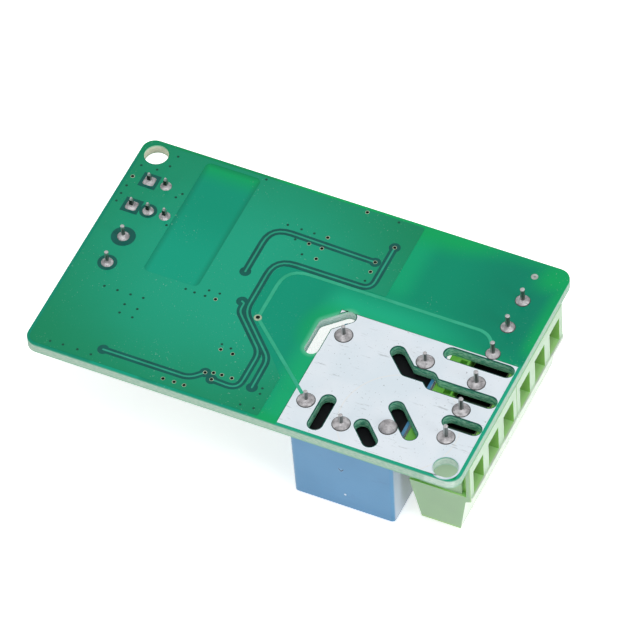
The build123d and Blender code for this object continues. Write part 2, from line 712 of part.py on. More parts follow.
keep(moulded_body([REGULATOR], SOT223_BODY), "regulator_body")
regulator_rows = [(0,), (-SOT223_PITCH, 0, SOT223_PITCH)]
regulator_sides = sides(REGULATOR, SOT223_BODY[0], regulator_rows)
regulator_bend = (SOT223_REACH, SOT223_BODY[2] / 2, SOT223_FOOT)
wide_lead = gull_wings(regulator_sides[:1], SOT223_TAB, *regulator_bend)
narrow_leads = gull_wings(regulator_sides[1:], SOT223_LEAD, *regulator_bend)
with BuildPart() as regulator_leads:
    add(wide_lead.part)
    add(narrow_leads.part)
keep(regulator_leads, "regulator_leads")

keep(moulded_body([TRANSISTOR], SOT23_BODY), "transistor_body")
transistor_rows = [(-SOT23_PITCH / 2, SOT23_PITCH / 2), (0,)]
transistor_sides = sides(TRANSISTOR, SOT23_BODY[0], transistor_rows)
keep(gull_wings(transistor_sides, SOT23_LEAD, SOT23_REACH, SOT23_BODY[2] / 2, SOT23_FOOT), "transistor_leads")

diodes = [INPUT_DIODE, COIL_DIODE]
keep(moulded_body(diodes, DIODE_BODY), "diode_bodies")
diode_sides = [side for place in diodes for side in sides(place, DIODE_BODY[0], [(0,), (0,)])]
keep(gull_wings(diode_sides, DIODE_LEAD, DIODE_REACH, DIODE_BODY[2] / 2, DIODE_FOOT), "diode_leads")

keep(moulded_body([OPTOCOUPLER], OPTO_BODY), "optocoupler_body")
opto_row = (-OPTO_PITCH / 2, OPTO_PITCH / 2)
opto_sides = sides(OPTOCOUPLER, OPTO_BODY[0], [opto_row, opto_row])
keep(gull_wings(opto_sides, OPTO_LEAD, OPTO_REACH, OPTO_BODY[2] / 2, OPTO_FOOT), "optocoupler_leads")


def chips(places, height):
    """The middles of chip parts, between their end caps."""
    with BuildPart() as bodies:
        with BuildSketch(below(FOIL)):
            with Locations(*places):
                Rectangle(CHIP_LENGTH - 2 * CHIP_CAP, CHIP_WIDTH)
        extrude(amount=-height)
    return bodies


keep(chips(RESISTORS, RESISTOR_HEIGHT), "resistors")
keep(chips(CERAMIC_CAPACITORS, CERAMIC_HEIGHT), "ceramic_capacitors")
keep(chips(LEDS, LED_HEIGHT), "indicator_lights")
chip_groups = ((RESISTORS, RESISTOR_HEIGHT), (CERAMIC_CAPACITORS, CERAMIC_HEIGHT), (LEDS, LED_HEIGHT / 2))
cap_shift = (CHIP_LENGTH - CHIP_CAP) / 2
with BuildPart() as chip_caps:
    for places, height in chip_groups:
        with BuildSketch(below(FOIL)):
            with Locations(*[(x + end * cap_shift, y) for x, y in places for end in (-1, 1)]):
                Rectangle(CHIP_CAP, CHIP_WIDTH)
        extrude(amount=-height)
keep(chip_caps, "chip_caps")

with BuildPart() as component_side_pads:
    with BuildSketch(UNDERSIDE):
        pad_shift = cap_shift + CHIP_PAD_SHIFT
        chip_places = RESISTORS + CERAMIC_CAPACITORS + LEDS
        with Locations(*[(x + end * pad_shift, y) for x, y in chip_places for end in (-1, 1)]):
            Rectangle(CHIP_CAP + CHIP_PAD_GROWTH, CHIP_WIDTH)
        for places, reach, width in (
            (regulator_sides[:1], SOT223_REACH, SOT223_TAB),
            (regulator_sides[1:], SOT223_REACH, SOT223_LEAD),
            (transistor_sides, SOT23_REACH, SOT23_LEAD),
            (diode_sides, DIODE_REACH, DIODE_LEAD),
            (opto_sides, OPTO_REACH, OPTO_LEAD),
        ):
            with Locations(*[(x + outward * reach, y) for x, y, outward in places]):
                Rectangle(PAD_LENGTH, width + PAD_SIDE)
        with Locations(*radio_pads):
            Rectangle(RADIO_NOTCH, 2 * RADIO_NOTCH)
    extrude(amount=-FOIL)
keep(component_side_pads, "component_side_pads")
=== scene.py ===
import math

import bpy
import bmesh
from mathutils import Matrix, Vector, geometry, noise


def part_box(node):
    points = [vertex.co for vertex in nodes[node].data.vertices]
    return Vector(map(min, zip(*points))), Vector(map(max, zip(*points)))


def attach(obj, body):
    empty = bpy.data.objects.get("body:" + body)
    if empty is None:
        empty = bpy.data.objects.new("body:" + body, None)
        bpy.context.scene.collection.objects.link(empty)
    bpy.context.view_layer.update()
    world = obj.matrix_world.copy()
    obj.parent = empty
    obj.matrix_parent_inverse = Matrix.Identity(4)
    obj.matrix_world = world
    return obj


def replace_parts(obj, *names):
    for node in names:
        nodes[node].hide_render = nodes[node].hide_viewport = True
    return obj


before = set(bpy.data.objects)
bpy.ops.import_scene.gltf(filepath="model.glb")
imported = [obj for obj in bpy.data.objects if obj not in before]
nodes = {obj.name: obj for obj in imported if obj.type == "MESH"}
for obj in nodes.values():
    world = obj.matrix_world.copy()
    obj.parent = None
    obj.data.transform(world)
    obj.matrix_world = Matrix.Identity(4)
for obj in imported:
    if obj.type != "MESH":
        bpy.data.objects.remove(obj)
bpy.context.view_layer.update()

# A relay module board lying on its relay with the solder side up. Blender's own lengths are in metres. Everything that
# is placed on the board, outlines, levels and the ramps of materials, is in millimetres, as in at().

MM = 0.001
board_low, board_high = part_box("circuit_board")
ORIGIN = (board_low[0], board_low[1], board_high[2])
BOARD_BODY = "board"


def at(x, y, up=0.0):
    """A place on the board: millimetres from its front left corner and above the solder side."""
    return Vector([start + value * MM for start, value in zip(ORIGIN, (x, y, up))])


def box_on_board(node):
    """The low and the high corner of a CAD node, in the same millimetres."""
    return [[(value - start) / MM for value, start in zip(corner, ORIGIN)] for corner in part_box(node)]


# Pins and holes, placed as in the CAD
TERMINAL_PITCH = 5.08
HEADER_PITCH = 2.54
TERMINAL_ROW = 60.42
RELAY_PINS = [(46.4, 3.55), (40.3, 5.45), (40.3, 17.8), (52.5, 17.8), (52.5, 5.45)]
COIL_PIN, LEFT_CONTACT = RELAY_PINS[1:3]
BURIED_PIN = 4  # the relay pin whose tip the solder covers
FRONT_PINS = [(TERMINAL_ROW, 6.9 + TERMINAL_PITCH * i) for i in range(3)]
BACK_PINS = [(TERMINAL_ROW, 22.63 + TERMINAL_PITCH * i) for i in range(3)]
JUMPER_PINS = [(3.73 + HEADER_PITCH * i, 32.7) for i in range(2)]
SERIAL_PINS = [(3.38 + HEADER_PITCH * i, 27.68) for i in range(3)]
CAPACITOR_PINS = [(4.72, 17.08), (4.72, 22.18)]
MOUNTING_HOLES = [(2.5, 37.5), (62.5, 2.1)]
TEST_POINT = (60.25, 37.3)
POWER_VIA = (28.15, 16.07)
# The middle line of the milled gap round the left contact
CORNER_GAP = [(LEFT_CONTACT[0] + x, LEFT_CONTACT[1] + y) for x, y in ((-3.1, -3.75), (-3.1, 0.75), (-0.65, 3.15))]

# Levels above the solder side
COPPER = 0.035
CLEARANCE_TOP = 0.04
TRACK_TOP = 0.045
DOT_TOP = 0.05
INK = 0.03
STEP = 0.001  # keeps apart the plates that lie over each other

# Copper
EDGE_MARGIN = 0.45
HOLE_MARGIN = 1.9
TRACK = 0.27
TRACK_CLEARANCE = 1.1
TRACK_END = 1.65
POWER_TRACK = 0.5
POWER_BEND = 3.5
WINDOW = (9.75, 17.8, 18.15, 38.95)  # left, front, right and back of the opening in the copper
WINDOW_CORNER = 0.8
SQUARE_PAD_CLEARANCE = 2.6  # its side
SERIAL_PAD_CLEARANCE = 1.27  # its radius, as for the two below
CAPACITOR_PAD_CLEARANCES = (1.4, 1.75)

# Vias and the test point, as radii
COVERED_VIA = 0.19
OPEN_VIA = 0.3
OPEN_VIA_HOLE = 0.235
POWER_VIA_RING = 0.56
POWER_VIA_BORE = 0.36
POWER_VIA_WALL = 0.37
POWER_VIA_HOLE = 0.3
POWER_VIA_HOLE_PLACE = (POWER_VIA[0] - 0.02, POWER_VIA[1] + 0.07)
TEST_PAD_RADIUS = 0.5
TEST_DIMPLE_RADIUS = 0.17

# Print
FIELD = (38.13, 0.33, 64.67, 21.87)  # left, front, right and back of the white field
FIELD_CORNER = 1.85
FIELD_CORNER_CUTS = 8
PRINT_GAP = 0.12  # between the print and the milled gaps

# How finely curves are drawn
BEND_STEPS = 6
CORNER_STEPS = 8
CAP_STEPS = 8

# The copper area's corners, each with its radius
POUR = [
    ((EDGE_MARGIN, 20.0), 0), ((EDGE_MARGIN, EDGE_MARGIN), 1.5), ((35.4, EDGE_MARGIN), 0.3), ((35.4, 7.7), 1.0),
    ((32.75, 10.6), 1.0), ((26.65, 16.7), 3.2), ((26.65, 26.3), 3.0), ((42.8, 26.15), 0.3), ((42.8, 39.55), 0.3),
    ((EDGE_MARGIN, 39.55), 1.5), ((EDGE_MARGIN, 20.0), 0),
]
# Tracks with their clearances, each a path and the radii of its bends
SIGNAL_TRACKS = [
    ([(23.06, 22.9), (23.06, 31.65), (38.94, 31.26)], [3.0]),
    ([(40.35, 34.7), (40.35, 26.6), (26.02, 26.6), (26.08, 16.42), (32.5, 10.0), (32.6, 4.6)], [1.6, 3.0, 3.6, 3.0]),
    (
        [(24.92, 17.88), (25.33, 17.7), (25.33, 16.17), (30.95, 10.55), (30.95, 3.55), (26.92, 3.76)],
        [0.3, 3.6, 3.0, 1.7],
    ),
    ([(25.61, 4.51), (23.95, 2.85), (10.97, 2.85)], [3.2]),
]
POWER_TRACKS = [
    [POWER_VIA, (28.15, 25.75), (58.6, 25.75), BACK_PINS[0]],
    [POWER_VIA, COIL_PIN],
]
COVERED_VIAS = [
    (5.5, 38.3), (1.4, 34.9), (5.2, 36.25), (3.8, 35.0), (1.1, 30.75), (1.0, 29.2), (1.0, 27.7), (9.0, 32.3),
    (8.4, 31.4), (9.4, 26.3), (6.2, 13.1), (8.2, 13.1), (10.2, 13.1), (12.1, 13.2), (10.2, 11.2), (12.2, 11.1),
    (10.2, 9.6), (12.2, 9.5), (16.8, 16.9), (18.2, 16.8), (19.9, 17.9), (19.8, 16.8), (21.5, 17.95), (3.6, 1.4),
    (5.5, 1.5), (7.7, 1.5), (9.8, 1.4), (24.95, 32.8), (27.05, 32.8), (29.0, 32.8), (27.0, 30.8), (29.0, 28.7),
    (25.6, 9.9), (27.05, 9.7), (34.0, 5.0), (34.1, 4.0), (32.4, 1.3), (34.35, 1.4), (18.7, 39.2), (39.0, 39.1),
    (39.0, 27.7),
]
OPEN_VIAS = [
    (1.15, 32.6), (21.4, 16.8), (31.04, 32.8), (29.1, 30.8), (31.1, 30.7), (31.15, 28.7), (20.75, 1.35),
    (22.4, 1.4), (23.9, 1.4), (26.7, 4.9), (27.9, 5.0), (29.4, 5.0), (25.85, 9.0), (27.7, 8.9), (34.2, 39.1),
    (39.05, 29.45), (38.94, 31.26), (40.35, 34.7), (25.61, 4.51), (26.92, 3.76),
]


# Shapes in the board's plane, as lists of (x, y)

def disc(centre, radius, steps=32):
    turn = 2 * math.pi / steps
    return [(centre[0] + radius * math.cos(i * turn), centre[1] + radius * math.sin(i * turn)) for i in range(steps)]


def box_outline(left, front, right, back, corner=0.0):
    """A rectangle, its corners rounded where a radius is given."""
    if not corner:
        return [(left, front), (right, front), (right, back), (left, back)]
    points = []
    near_left, near_front, near_right, near_back = left + corner, front + corner, right - corner, back - corner
    centres = ((near_right, near_back), (near_left, near_back), (near_left, near_front), (near_right, near_front))
    for quarter, (x, y) in enumerate(centres):
        for i in range(CORNER_STEPS + 1):
            angle = math.pi / 2 * (quarter + i / CORNER_STEPS)
            points.append((x + corner * math.cos(angle), y + corner * math.sin(angle)))
    return points


def rounded_path(points, bend):
    """A path with each of its corners rounded as far as its runs allow; bend is one radius or one a corner."""
    points = [Vector(p) for p in points]
    bends = bend if isinstance(bend, list) else [bend] * (len(points) - 2)
    path = [points[0]]
    for before, corner, after, radius in zip(points, points[1:], points[2:], bends):
        back, on = before - corner, after - corner
        reach = min(radius * math.tan((math.pi - back.angle(on)) / 2), back.length * 0.48, on.length * 0.48)
        start, end = corner + back.normalized() * reach, corner + on.normalized() * reach
        for i in range(BEND_STEPS + 1):
            t = i / BEND_STEPS
            path.append(start.lerp(corner, t).lerp(corner.lerp(end, t), t))
    path.append(points[-1])
    return path


def ribbon(points, width, bend):
    """The outline of a track with rounded ends."""
    path = rounded_path(points, bend)
    left, right = [], []
    for i, point in enumerate(path):
        ahead = path[min(i + 1, len(path) - 1)] - path[max(i - 1, 0)]
        side = Vector((-ahead.y, ahead.x)).normalized() * width / 2
        left.append(point + side)
        right.append(point - side)

    def cap(centre, start):
        spoke = start - centre
        return [centre + Matrix.Rotation(-math.pi * i / CAP_STEPS, 2) @ spoke for i in range(1, CAP_STEPS)]

    outline = left + cap(path[-1], left[-1]) + right[::-1] + cap(path[0], right[0])
    return [(p.x, p.y) for p in outline]


def filled(loops):
    """The points and the triangles, turning to the left, that fill an outline and leave its holes free."""
    points = [Vector(place) for loop in loops for place in loop]
    rings, start = [], 0
    for loop in loops:
        ring = list(range(start, start + len(loop)))
        turn = sum(points[a].cross(points[b]) for a, b in zip(ring, ring[1:] + ring[:1]))
        rings.append(ring if turn > 0 else ring[::-1])
        start += len(loop)
    found = geometry.delaunay_2d_cdt(points, [], rings, 1, 1e-6)
    points, triangles = found[0], []
    for face, source in zip(found[2], found[5]):
        if source == [0]:
            a, b, c = [points[i] for i in face]
            triangles.append(face if (b - a).cross(c - a) > 0 else face[::-1])
    return points, triangles


# Pieces

def board_piece(name, bm, material):
    """Turns an edited mesh into a piece of the board."""
    mesh = bpy.data.meshes.new(name)
    bm.to_mesh(mesh)
    bm.free()
    piece = bpy.data.objects.new(name, mesh)
    bpy.context.scene.collection.objects.link(piece)
    mesh.materials.append(material)
    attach(piece, BOARD_BODY)
    return piece


def skin(bm, lower, upper, smooth=False):
    """Joins two rings of equally many vertices with faces that look outwards."""
    for j in range(len(lower)):
        k = (j + 1) % len(lower)
        bm.faces.new((lower[j], lower[k], upper[k], upper[j])).smooth = smooth


def plate(name, shapes, top, material):
    """Thin flat pieces on the solder side; each shape is an outline followed by its holes."""
    bm = bmesh.new()
    for loops in shapes:
        points, triangles = filled(loops)
        lower, upper = [[bm.verts.new(at(p.x, p.y, level)) for p in points] for level in (0.0, top)]
        sides = set()
        for a, b, c in triangles:
            bm.faces.new((upper[a], upper[b], upper[c]))
            bm.faces.new((lower[c], lower[b], lower[a]))
            sides ^= {(a, b), (b, c), (c, a)}
        for a, b in sorted(sides):
            if (b, a) not in sides:
                bm.faces.new((lower[a], lower[b], upper[b], upper[a]))
    bmesh.ops.delete(bm, geom=[v for v in bm.verts if not v.link_faces], context="VERTS")
    return board_piece(name, bm, material)


def dots(name, places, radius, steps, top, material):
    """A small flat disc at each place."""
    return plate(name, [[disc(place, radius, steps)] for place in places], top, material)


# Node trees

def join(tree, source, socket):
    """Joins an output to a socket, or sets the socket where the source is a value."""
    if isinstance(source, bpy.types.NodeSocket):
        tree.links.new(source, socket)
    else:
        socket.default_value = source


def arithmetic(tree, operation, *values):
    node = tree.nodes.new("ShaderNodeMath")
    node.operation = operation
    for socket, value in zip(node.inputs, values):
        join(tree, value, socket)
    return node.outputs[0]


class Nodes:
    """The nodes of one material, made and joined in short calls."""

    def __init__(self, name):
        self.material = bpy.data.materials.new(name)
        self.material.use_nodes = True
        self.tree = self.material.node_tree
        self.shader = self.tree.nodes["Principled BSDF"]
        self.coordinates = self.tree.nodes.new("ShaderNodeTexCoord").outputs

    def add(self, kind, *sources):
        """A node, with its first inputs joined or set."""
        node = self.tree.nodes.new(kind)
        for source, socket in zip(sources, node.inputs):
            join(self.tree, source, socket)
        return node

    def math(self, operation, *values):
        return arithmetic(self.tree, operation, *values)

    def chain(self, operation, first, *others):
        """One operation, worked through several values in turn."""
        for value in others:
            first = self.math(operation, first, value)
        return first

    def times(self, *values):
        return self.chain("MULTIPLY", *values)

    def most(self, *values):
        return self.chain("MAXIMUM", *values)

    def least(self, *values):
        return self.chain("MINIMUM", *values)

    def minus(self, first, second):
        return self.math("SUBTRACT", first, second)

    def distance(self, aside, beyond):
        """The length of a flat vector."""
        return self.math("SQRT", self.math("ADD", self.times(aside, aside), self.times(beyond, beyond)))

    def from_point(self, first, second, point):
        """The distance from a point, along two of the axes."""
        return self.distance(self.minus(first, point[0]), self.minus(second, point[1]))

    def from_line(self, along, across, start, end):
        """The distance from a straight line on the board."""
        reach = Vector(end) - Vector(start)
        course = reach.normalized()
        aside, beyond = self.minus(along, start[0]), self.minus(across, start[1])
        on_course, off_course = [
            self.math("ADD", self.times(aside, u), self.times(beyond, v)) for u, v in (course, (-course.y, course.x))
        ]
        nearest = self.least(self.most(on_course, 0.0), reach.length)
        return self.distance(self.minus(on_course, nearest), off_course)

    def on_board(self):
        """The place in millimetres: along the board, across it and above the solder side."""
        axes = self.add("ShaderNodeSeparateXYZ", self.coordinates["Object"]).outputs
        return [self.times(self.minus(axis, start), 1 / MM) for axis, start in zip(axes, ORIGIN)]

    def facing(self):
        """The surface's own direction, as X, Y and Z."""
        return self.add("ShaderNodeSeparateXYZ", self.coordinates["Normal"]).outputs

    def noise(self, scale, detail=3.0, roughness=0.55, stretch=None):
        """Noise in the object's coordinates, which may be scaled apart along each axis."""
        place = self.coordinates["Object"]
        if stretch:
            mapping = self.add("ShaderNodeMapping", place)
            mapping.inputs["Scale"].default_value = stretch
            place = mapping.outputs["Vector"]
        node = self.add("ShaderNodeTexNoise", place)
        node.inputs["Scale"].default_value = scale
        node.inputs["Detail"].default_value = detail
        node.inputs["Roughness"].default_value = roughness
        return node.outputs["Fac"]

    def ramp(self, value, low, high, start=0.0, end=1.0):
        """A value remapped, smooth and held at both ends."""
        node = self.add("ShaderNodeMapRange", value, low, high, start, end)
        node.interpolation_type = "SMOOTHSTEP"
        return node.outputs[0]

    def mix(self, share, first, second):
        """The first colour, with a share of the second over it."""
        node = self.tree.nodes.new("ShaderNodeMix")
        node.data_type = "RGBA"
        for source, socket in zip((share, first, second), (node.inputs[0], node.inputs[6], node.inputs[7])):
            join(self.tree, source, socket)
        return node.outputs[2]

    def cloud(self, scale, detail=3.0):
        """A share that drifts between 0 and 1."""
        return self.ramp(self.noise(scale, detail), 0.3, 0.7)

    def dusty(self, base):
        """A colour under fine dust, which lies in patches."""
        grains = self.ramp(self.noise(4200.0, 1.0), 0.7, 0.76)
        patches = self.ramp(self.noise(110.0, 2.0), 0.45, 0.65, 0.06, 0.55)
        return self.mix(self.times(grains, patches), base, colour(150, 200, 180))

    def bump(self, height, distance, strength=1.0):
        node = self.tree.nodes.new("ShaderNodeBump")
        node.inputs["Strength"].default_value = strength
        node.inputs["Distance"].default_value = distance
        join(self.tree, height, node.inputs["Height"])
        join(self.tree, node.outputs[0], self.shader.inputs["Normal"])

    def finish(self, **values):
        """Sets the shader's inputs, named with underscores for their spaces."""
        for key, value in values.items():
            join(self.tree, value, self.shader.inputs[key.replace("_", " ")])
        return self.material


def colour(red, green, blue):
    """A colour measured on screen, from 0 to 255, as the shader wants it."""
    def linear(value):
        value /= 255
        return value / 12.92 if value <= 0.04045 else ((value + 0.055) / 1.055) ** 2.4
    return (linear(red), linear(green), linear(blue), 1.0)


# Materials
FINE_RELIEF = 0.01 * MM
MASK_WAVES = 500.0  # the scale of the noise in the solder mask's surface
MASK_RELIEF = 0.4
MASK_ROUGHNESS = 0.32
MASK_SHINE = 0.2


def plain(name, dark, light, roughness, metallic=0.0, grain=900.0, relief=FINE_RELIEF, **more):
    """A surface mottled between two near colours, with a fine relief and uneven gloss."""
    n = Nodes(name)
    n.bump(n.noise(grain * 4), relief)
    gloss = n.ramp(n.noise(grain * 2), 0.3, 0.7, roughness - 0.06, roughness + 0.06)
    return n.finish(Base_Color=n.mix(n.cloud(grain), dark, light), Roughness=gloss, Metallic=metallic, **more)


def mask(name, dark, light, grain):
    """Solder mask over copper or over a clearance."""
    return plain(name, dark, light, 0.33, grain=grain, Specular_IOR_Level=MASK_SHINE)


def mask_on_laminate(n, along, across, in_field):
    """The board's own mask: paler with painted glow wherever light comes through the laminate, darker under the print.
    """
    back_edge = n.ramp(n.minus(across, n.ramp(along, 46.0, 58.0, 0.0, 2.4)), 34.8, 39.4)
    back_corner = n.times(n.ramp(along, 58.8, 62.8), n.ramp(across, 33.6, 37.6))
    right_edge = n.times(n.ramp(along, 62.6, 65.0), n.ramp(across, 22.0, 26.0), 0.9)
    left_of_field = n.times(n.ramp(along, 33.5, 37.5), n.ramp(across, 24.0, 19.0), 0.6)
    front_corner = n.times(n.ramp(along, 33.0, 36.0), n.ramp(across, 4.0, 0.5), 0.8)
    from_gap = n.distance(n.times(n.minus(along, 37.6), 1.3), n.minus(across, 17.5))
    around_gap = n.times(n.ramp(from_gap, 6.5, 3.0), 0.6)
    glow = n.most(back_edge, back_corner, right_edge, left_of_field, front_corner, around_gap)
    drift = n.ramp(n.noise(60.0), 0.3, 0.7, 0.8, 1.1)

    right_back = n.times(n.ramp(along, 49.0, 58.0), n.ramp(across, 20.0, 26.0))
    window_front = n.times(n.ramp(along, 24.0, 20.0), n.ramp(across, 32.0, 22.0))
    beside_pour = n.times(n.ramp(along, 40.0, 42.0), n.ramp(along, 47.2, 43.6), n.ramp(across, 24.5, 29.0), 0.9)
    behind_field = n.times(n.ramp(along, 34.0, 38.0), n.ramp(along, 63.5, 43.5), n.ramp(across, 27.5, 22.5))
    base = n.mix(n.ramp(along, 42.0, 30.0), colour(4, 145, 110), colour(10, 152, 120))
    base = n.mix(right_back, base, colour(4, 134, 104))
    base = n.mix(window_front, base, colour(18, 162, 130))
    # Painted glow of light through the laminate beside the copper area and behind the white field
    base = n.mix(beside_pour, base, colour(12, 168, 116))
    base = n.mix(behind_field, base, colour(26, 178, 134))
    base = n.mix(n.times(glow, drift), base, colour(8, 168, 96))

    # Painted glow of light through the laminate round the corner gap
    gap_lines = zip(CORNER_GAP, CORNER_GAP[1:])
    gap_glow = n.least(*[n.from_line(along, across, start, end) for start, end in gap_lines])
    base = n.mix(n.times(n.ramp(gap_glow, 1.75, 1.05), 0.75), base, colour(96, 196, 152))
    outside_print = n.most(n.ramp(along, 64.5, 64.6), n.ramp(across, 0.5, 0.4))
    outside_print = n.times(outside_print, n.ramp(along, 38.0, 38.4), n.ramp(across, 22.5, 21.5))
    base = n.mix(outside_print, base, colour(30, 166, 132))

    left, _, right, back = WINDOW
    inset = n.least(n.minus(along, left), n.minus(right, along), n.minus(back, across))
    rim_shade = n.times(n.ramp(inset, 1.0, 0.0), n.ramp(along, 22.0, 19.0), 0.45)
    base = n.dusty(n.mix(rim_shade, base, colour(8, 112, 84)))
    base = n.mix(in_field, base, colour(6, 88, 76))
    from_hole = n.from_point(along, across, MOUNTING_HOLES[1])
    return n.mix(n.ramp(from_hole, 2.1, 2.0), base, colour(208, 220, 228))


def laminate_sides(n, along, across, up, in_field, weave):
    """The cut laminate: darkened with painted shade in the field's gaps, pale with painted light where light falls in,
    green under its upper rim.
    """
    def woven(dark, light):
        return n.mix(weave, colour(*dark), colour(*light))

    by_right_hole = n.times(n.ramp(along, 60.0, 60.4), n.ramp(across, 4.4, 4.1))
    left_gap = n.times(n.ramp(along, 43.0, 42.5), n.ramp(across, 12.0, 13.0))
    shaded = n.most(n.minus(in_field, n.most(by_right_hole, left_gap)), 0.0)
    pale = n.most(by_right_hole, n.times(left_gap, n.ramp(along, 34.0, 34.5)))
    by_left_hole = n.times(n.ramp(along, 5.5, 4.5), n.ramp(across, 34.0, 35.0))
    base = woven((160, 197, 178), (190, 212, 194))
    base = n.mix(n.times(pale, n.ramp(along, 64.7, 64.2)), base, woven((186, 212, 198), (212, 230, 218)))
    base = n.mix(left_gap, base, woven((206, 236, 222), (232, 248, 240)))
    base = n.mix(by_left_hole, base, woven((224, 228, 204), (236, 238, 218)))
    base = n.mix(shaded, base, woven((72, 166, 136), (168, 224, 198)))
    # In the gaps the upper rim is a dark line of painted shade
    upper_rim = n.mix(shaded, n.ramp(up, -0.32, -0.1), n.ramp(up, -0.22, -0.08))
    rim_colour = n.mix(left_gap, colour(58, 164, 134), colour(130, 206, 172))
    base = n.mix(n.times(upper_rim, 0.9), base, n.mix(shaded, rim_colour, colour(16, 96, 78)))
    lower_rim = n.times(n.ramp(up, -1.25, -1.5), 0.5)
    return n.mix(lower_rim, base, colour(120, 190, 150))


def board_material():
    """Solder mask on both faces and raw laminate round the sides."""
    n = Nodes("board_laminate")
    along, across, up = n.on_board()
    in_field = n.times(
        n.ramp(along, 38.0, 38.4), n.ramp(along, 64.6, 64.2), n.ramp(across, 0.6, 1.0), n.ramp(across, 21.9, 21.6),
    )
    weave = n.ramp(n.noise(1500.0, 2.0, stretch=(1, 1, 3)), 0.3, 0.7)
    face_colour = mask_on_laminate(n, along, across, in_field)
    side_colour = laminate_sides(n, along, across, up, in_field, weave)
    side = n.ramp(n.math("ABSOLUTE", n.facing()[2]), 0.7, 0.5)
    n.bump(n.mix(side, n.noise(MASK_WAVES), weave), FINE_RELIEF, MASK_RELIEF)
    return n.finish(
        Base_Color=n.mix(side, face_colour, side_colour),
        Roughness=n.ramp(side, 0.0, 1.0, MASK_ROUGHNESS, 0.7), Specular_IOR_Level=0.13,
    )


def copper_material():
    """Solder mask over the copper area: paler towards its middle with a painted highlight, and with dust."""
    n = Nodes("mask_over_copper")
    along, across, _ = n.on_board()
    # A broad painted highlight, centred at 21 along and 20 across the board
    beyond = n.minus(across, 20.0)
    beyond = n.most(beyond, n.times(beyond, -1.25))
    distance = n.distance(n.minus(along, 21.0), beyond)
    cloud = n.times(n.minus(n.noise(70.0), 0.5), 9.0)
    base = n.mix(n.ramp(n.math("ADD", distance, cloud), 34.0, 4.0), colour(5, 134, 90), colour(22, 164, 130))
    n.bump(n.noise(MASK_WAVES), FINE_RELIEF, MASK_RELIEF)
    return n.finish(Base_Color=n.dusty(base), Roughness=MASK_ROUGHNESS, Specular_IOR_Level=MASK_SHINE)


def ink_material():
    """White print, thin enough to show the ghost of a ring, with the dirt of handling."""
    ghost_middle, ghost_radius = (53.6, 6.6), 8.4
    n = Nodes("white_print")
    cloud = n.cloud(140.0)
    base = n.mix(cloud, colour(224, 236, 244), colour(234, 242, 249))
    along, across, _ = n.on_board()
    from_ring = n.math("ABSOLUTE", n.minus(n.from_point(along, across, ghost_middle), ghost_radius))
    base = n.mix(n.times(n.ramp(from_ring, 0.16, 0.06), 0.6), base, colour(234, 236, 236))
    scratches = n.ramp(n.noise(700.0, 4.0, 0.72, (0.35, 2.4, 1)), 0.6, 0.67)
    patches = n.ramp(n.noise(130.0, 2.0), 0.4, 0.56)
    base = n.mix(n.times(scratches, patches, 0.5), base, colour(150, 156, 160))
    spots = n.ramp(n.noise(3600.0, 2.0), 0.69, 0.74)
    base = n.mix(n.times(spots, 0.6), base, colour(96, 100, 106))
    n.bump(n.noise(1800.0), 0.006 * MM, 0.5)
    return n.finish(Base_Color=base, Roughness=n.ramp(cloud, 0.0, 1.0, 0.42, 0.5))


def solder_material():
    """Tin solder: lumpy, dull in patches."""
    n = Nodes("bright_solder")
    cloud = n.cloud(1100.0, 4.0)
    n.bump(n.noise(1700.0, 3.0), 0.1 * MM, 0.5)
    base = n.mix(cloud, colour(142, 140, 142), colour(188, 186, 188))
    pits = n.ramp(n.noise(2300.0, 2.0), 0.62, 0.68)
    base = n.mix(n.times(pits, 0.45), base, colour(84, 82, 86))
    return n.finish(Base_Color=base, Metallic=0.8, Roughness=n.ramp(cloud, 0.0, 1.0, 0.74, 0.58))


def pin_material(name, tip_from, tip_to, dark, light, shade_from=0.5, shade_to=0.15):
    """A tinned pin, bright at its cut tip, with painted shade below the board. Its sides carry painted light and
    shade:
    they go from dark to light as they turn to the left, where their direction's X falls from shade_from to shade_to."""
    n = Nodes(name)
    up = n.on_board()[2]
    sideways = n.facing()[0]
    streaks = n.ramp(n.noise(1600.0, 3.0, 0.6, (1, 1, 0.25)), 0.3, 0.7)
    # Painted light and shade on the sides, by the way they face
    lit = n.most(n.ramp(sideways, shade_from, shade_to), n.ramp(sideways, 0.86, 0.97, 0.0, 0.6))
    sides = n.mix(n.times(n.ramp(streaks, 0.0, 1.0, 0.7, 1.0), lit), dark, light)
    # Painted shade below the board
    sides = n.mix(n.ramp(up, -1.55, -1.65), sides, colour(34, 36, 34))
    tip = n.ramp(up, tip_from, tip_to)
    n.bump(n.noise(2500.0), 0.03 * MM, 0.4)
    return n.finish(Base_Color=n.mix(tip, sides, colour(176, 174, 176)), Metallic=0.9, Roughness=0.38)


